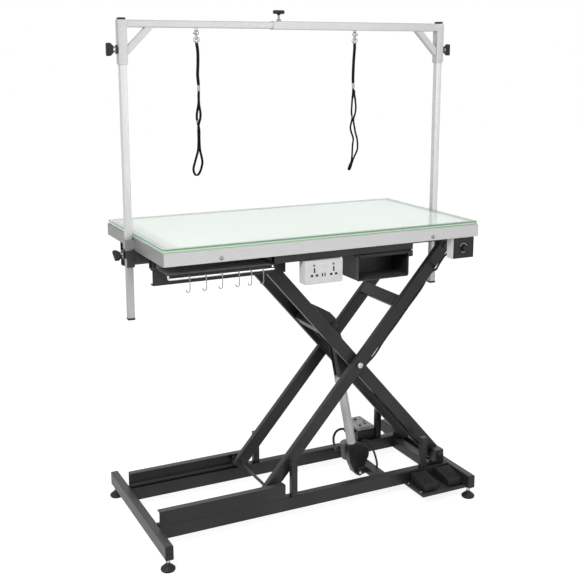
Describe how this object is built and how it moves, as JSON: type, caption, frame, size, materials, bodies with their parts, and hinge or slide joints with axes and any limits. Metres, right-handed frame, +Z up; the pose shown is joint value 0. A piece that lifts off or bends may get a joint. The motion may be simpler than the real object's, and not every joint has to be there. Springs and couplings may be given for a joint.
{
  "type": "grooming table",
  "caption": "Electric scissor-lift pet grooming table with a lit glass top, an overhead gate, hanging nooses, foot pedals, a socket box and tool storage.",
  "frame": {"origin": "on the floor, at the middle of the whole object's box seen from above", "axes": "+X along the table's long side, towards the control box; +Y from the front edge with the pedals to the back; +Z up"},
  "size_m": [1.3916, 0.679, 1.8987],
  "materials": {
    "black_powder_coat": "satin textured powder coat",
    "brushed_stainless": "brushed",
    "gate_steel": "satin",
    "chrome": "polished",
    "zinc": "zinc plated",
    "glass": "clear, green at the edge",
    "light_diffuser": "frosted, lit",
    "black_plastic": "moulded",
    "white_plastic": "smooth",
    "grey_tube": "grey anodised",
    "rubber": "matt",
    "webbing": "woven band"
  },
  "bodies": {
    "base": {"base_rail_front": "black_powder_coat", "base_rail_back": "black_powder_coat", "base_tube_left": "black_powder_coat", "base_tube_right": "black_powder_coat", "lift_bar": "black_powder_coat", "pedal_tray": "black_powder_coat", "power_box": "black_plastic", "drive_cable": "rubber"},
    "inner_arms": {"inner_arm_front": "black_powder_coat", "inner_arm_back": "black_powder_coat", "lift_bracket": "black_powder_coat"},
    "outer_arms": {"outer_arm_front": "black_powder_coat", "outer_arm_back": "black_powder_coat", "outer_arm_tie": "black_powder_coat", "lower_axle": "zinc"},
    "table": {"table_frame": "brushed_stainless", "glass_top": "glass", "light_panel": "light_diffuser", "subframe_rail_front": "black_powder_coat", "subframe_rail_back": "black_powder_coat", "accessory_bar": "black_powder_coat", "hook_rail": "chrome", "socket_box": "white_plastic", "storage_bin": "black_powder_coat", "dimmer_box": "brushed_stainless", "clamp_left": "black_powder_coat", "clamp_right": "black_powder_coat", "dimmer_cable": "rubber"},
    "lift_drive": {"lift_body": "grey_tube"},
    "lift_piston": {"lift_rod": "chrome"},
    "gate": {"gate_post_left": "gate_steel", "gate_post_right": "gate_steel"},
    "gate_bar": {"crossbar_left": "gate_steel", "crossbar_right": "gate_steel"},
    "noose_left": {"noose_left_clip": "chrome", "noose_left_strap": "webbing"},
    "noose_right": {"noose_right_clip": "chrome", "noose_right_strap": "webbing"},
    "foot_front_left": {"foot_front_left": "rubber"},
    "foot_back_left": {"foot_back_left": "rubber"},
    "foot_front_right": {"foot_front_right": "rubber"},
    "foot_back_right": {"foot_back_right": "rubber"},
    "roller_lower_front": {"roller_lower_front": "black_plastic"},
    "roller_lower_back": {"roller_lower_back": "black_plastic"},
    "roller_upper_front": {"roller_upper_front": "black_plastic"},
    "roller_upper_back": {"roller_upper_back": "black_plastic"},
    "s_hook_1": {"s_hook_1": "chrome"},
    "s_hook_2": {"s_hook_2": "chrome"},
    "s_hook_3": {"s_hook_3": "chrome"},
    "s_hook_4": {"s_hook_4": "chrome"},
    "s_hook_5": {"s_hook_5": "chrome"},
    "s_hook_6": {"s_hook_6": "chrome"},
    "pedal_up": {"pedal_up": "rubber"},
    "pedal_down": {"pedal_down": "rubber"},
    "dimmer_dial": {"dimmer_dial": "black_plastic"},
    "clamp_knob_left": {"clamp_knob_left": "black_plastic"},
    "clamp_knob_right": {"clamp_knob_right": "black_plastic"},
    "sleeve_knob_left": {"sleeve_knob_left": "black_plastic"},
    "sleeve_knob_right": {"sleeve_knob_right": "black_plastic"},
    "tee_knob": {"tee_knob": "black_plastic"}
  },
  "joints": [
    {"name": "lift", "type": "hinge", "parent": "base", "child": "inner_arms", "pos_m": [0.6, 0, 0.1255], "axis": [0, 1, 0], "range_deg": [-40.9, 0]},
    {"name": "arms_cross", "type": "hinge", "parent": "inner_arms", "child": "outer_arms", "pos_m": [0.216, 0, 0.5645], "axis": [0, 1, 0], "range_deg": [0, 81.8]},
    {"name": "table_level", "type": "hinge", "parent": "outer_arms", "child": "table", "pos_m": [0.6, 0, 1.0035], "axis": [0, 1, 0], "range_deg": [-40.9, 0]},
    {"name": "drive_tilt", "type": "hinge", "parent": "base", "child": "lift_drive", "pos_m": [0.296, 0, 0.055], "axis": [0, 1, 0], "range_deg": [-49.7, 0]},
    {"name": "drive_stroke", "type": "slide", "parent": "lift_drive", "child": "lift_piston", "axis": [-0.1952, 0, 0.9808], "range_m": [-0.2013, 0]},
    {"name": "foot_front_left_turn", "type": "hinge", "parent": "base", "child": "foot_front_left", "pos_m": [-0.632, -0.314, 0], "axis": [0, 0, 1], "continuous": true},
    {"name": "foot_back_left_turn", "type": "hinge", "parent": "base", "child": "foot_back_left", "pos_m": [-0.632, 0.314, 0], "axis": [0, 0, 1], "continuous": true},
    {"name": "foot_front_right_turn", "type": "hinge", "parent": "base", "child": "foot_front_right", "pos_m": [0.632, -0.314, 0], "axis": [0, 0, 1], "continuous": true},
    {"name": "foot_back_right_turn", "type": "hinge", "parent": "base", "child": "foot_back_right", "pos_m": [0.632, 0.314, 0], "axis": [0, 0, 1], "continuous": true},
    {"name": "roller_lower_front_roll", "type": "hinge", "parent": "outer_arms", "child": "roller_lower_front", "pos_m": [-0.168, -0.174, 0.1255], "axis": [0, 1, 0], "continuous": true},
    {"name": "roller_lower_back_roll", "type": "hinge", "parent": "outer_arms", "child": "roller_lower_back", "pos_m": [-0.168, 0.174, 0.1255], "axis": [0, 1, 0], "continuous": true},
    {"name": "roller_upper_front_roll", "type": "hinge", "parent": "inner_arms", "child": "roller_upper_front", "pos_m": [-0.168, -0.174, 1.0035], "axis": [0, 1, 0], "continuous": true},
    {"name": "roller_upper_back_roll", "type": "hinge", "parent": "inner_arms", "child": "roller_upper_back", "pos_m": [-0.168, 0.174, 1.0035], "axis": [0, 1, 0], "continuous": true},
    {"name": "gate_height", "type": "slide", "parent": "table", "child": "gate", "axis": [0, 0, 1], "range_m": [0, 0.17]},
    {"name": "crossbar_height", "type": "slide", "parent": "gate", "child": "gate_bar", "axis": [0, 0, 1], "range_m": [0, 0.08]},
    {"name": "clamp_knob_left_turn", "type": "hinge", "parent": "table", "child": "clamp_knob_left", "pos_m": [-0.6538, 0, 1.053], "axis": [1, 0, 0], "range_deg": [-180, 180]},
    {"name": "sleeve_knob_left_turn", "type": "hinge", "parent": "gate_bar", "child": "sleeve_knob_left", "pos_m": [-0.6538, 0, 1.759], "axis": [1, 0, 0], "range_deg": [-180, 180]},
    {"name": "clamp_knob_right_turn", "type": "hinge", "parent": "table", "child": "clamp_knob_right", "pos_m": [0.6538, 0, 1.053], "axis": [1, 0, 0], "range_deg": [-180, 180]},
    {"name": "sleeve_knob_right_turn", "type": "hinge", "parent": "gate_bar", "child": "sleeve_knob_right", "pos_m": [0.6538, 0, 1.759], "axis": [1, 0, 0], "range_deg": [-180, 180]},
    {"name": "tee_knob_turn", "type": "hinge", "parent": "gate_bar", "child": "tee_knob", "pos_m": [-0.055, 0, 1.8573], "axis": [0, 0, 1], "range_deg": [-180, 180]},
    {"name": "pedal_up_press", "type": "hinge", "parent": "base", "child": "pedal_up", "pos_m": [0.467, -0.198, 0.052], "axis": [1, 0, 0], "range_deg": [0, 2.5], "stiffness_Nm_per_rad": 12, "springref_deg": -4.58},
    {"name": "pedal_down_press", "type": "hinge", "parent": "base", "child": "pedal_down", "pos_m": [0.581, -0.198, 0.052], "axis": [1, 0, 0], "range_deg": [0, 2.5], "stiffness_Nm_per_rad": 12, "springref_deg": -4.58},
    {"name": "dimmer_turn", "type": "hinge", "parent": "table", "child": "dimmer_dial", "pos_m": [0.558, -0.3253, 1.0284], "axis": [0, 1, 0], "range_deg": [-135, 135]},
    {"name": "s_hook_1_swing", "type": "hinge", "parent": "table", "child": "s_hook_1", "pos_m": [-0.535, -0.32, 1.026], "axis": [1, 0, 0], "range_deg": [-20, 20]},
    {"name": "s_hook_2_swing", "type": "hinge", "parent": "table", "child": "s_hook_2", "pos_m": [-0.47687, -0.32, 1.026], "axis": [1, 0, 0], "range_deg": [-20, 20]},
    {"name": "s_hook_3_swing", "type": "hinge", "parent": "table", "child": "s_hook_3", "pos_m": [-0.41987, -0.32, 1.026], "axis": [1, 0, 0], "range_deg": [-20, 20]},
    {"name": "s_hook_4_swing", "type": "hinge", "parent": "table", "child": "s_hook_4", "pos_m": [-0.35912, -0.32, 1.026], "axis": [1, 0, 0], "range_deg": [-20, 20]},
    {"name": "s_hook_5_swing", "type": "hinge", "parent": "table", "child": "s_hook_5", "pos_m": [-0.31412, -0.32, 1.026], "axis": [1, 0, 0], "range_deg": [-20, 20]},
    {"name": "s_hook_6_swing", "type": "hinge", "parent": "table", "child": "s_hook_6", "pos_m": [-0.26987, -0.32, 1.026], "axis": [1, 0, 0], "range_deg": [-20, 20]},
    {"name": "noose_left_swing", "type": "hinge", "parent": "gate_bar", "child": "noose_left", "pos_m": [-0.373, 0, 1.822], "axis": [1, 0, 0], "range_deg": [-25, 25]},
    {"name": "noose_right_swing", "type": "hinge", "parent": "gate_bar", "child": "noose_right", "pos_m": [0.262, 0, 1.822], "axis": [1, 0, 0], "range_deg": [-25, 25]}
  ],
  "couplings": [
    {"joint": "arms_cross", "follows": "lift", "ratio": -2},
    {"joint": "table_level", "follows": "lift", "ratio": 1},
    {"joint": "drive_tilt", "follows": "lift", "ratio": 1.2148},
    {"joint": "drive_stroke", "follows": "lift", "m_per_rad": 0.2819}
  ]
}
